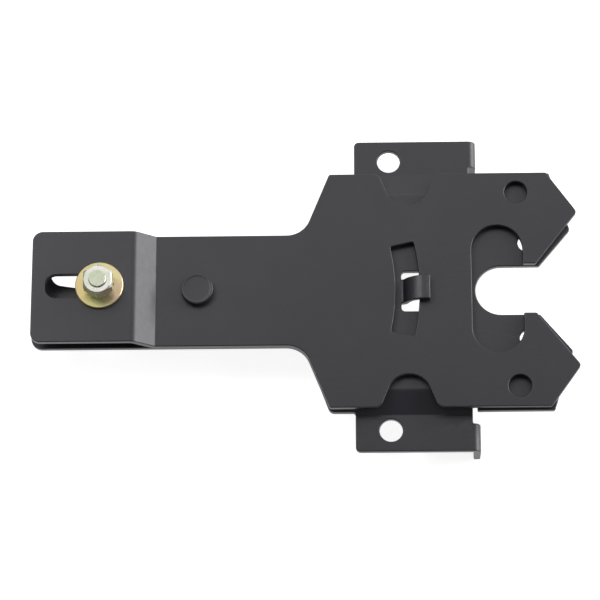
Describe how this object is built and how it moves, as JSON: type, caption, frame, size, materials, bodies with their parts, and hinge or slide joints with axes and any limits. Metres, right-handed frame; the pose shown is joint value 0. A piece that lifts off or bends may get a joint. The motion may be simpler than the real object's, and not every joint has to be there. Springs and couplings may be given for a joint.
{
  "type": "gate post latch",
  "caption": "Two-way gate latch for a post: a folded steel bracket carries a swinging catch lever with a forked mouth for a strike bar, padlock holes and a sliding lock bolt.",
  "frame": {"origin": "midway between the two post screw holes, on the back face of the ears, which lies against the post", "axes": "+Z out of the post towards the user, +X from the pivot to the mouth, +Y along the post through the screw holes"},
  "size_m": [0.2445, 0.1448, 0.0429],
  "materials": {
    "black_coat": "satin black powder coat on steel",
    "clear_zinc": "bright zinc plate",
    "yellow_zinc": "yellow passivated zinc plate"
  },
  "bodies": {
    "bracket": {"post_bracket": "black_coat", "pivot_rivet": "black_coat"},
    "lever": {"catch_lever": "black_coat"},
    "bolt": {"lock_bolt": "clear_zinc", "lock_washer": "clear_zinc", "flat_washer": "yellow_zinc", "lock_nut": "clear_zinc"}
  },
  "joints": [
    {"name": "lever_swing", "type": "hinge", "parent": "bracket", "child": "lever", "pos_m": [-0.086, 0, 0.0085], "axis": [0, 0, 1], "range_deg": [-9, 9]},
    {"name": "lock_bolt_slide", "type": "slide", "parent": "lever", "child": "bolt", "axis": [-1, 0, 0], "range_m": [0, 0.0055]}
  ]
}
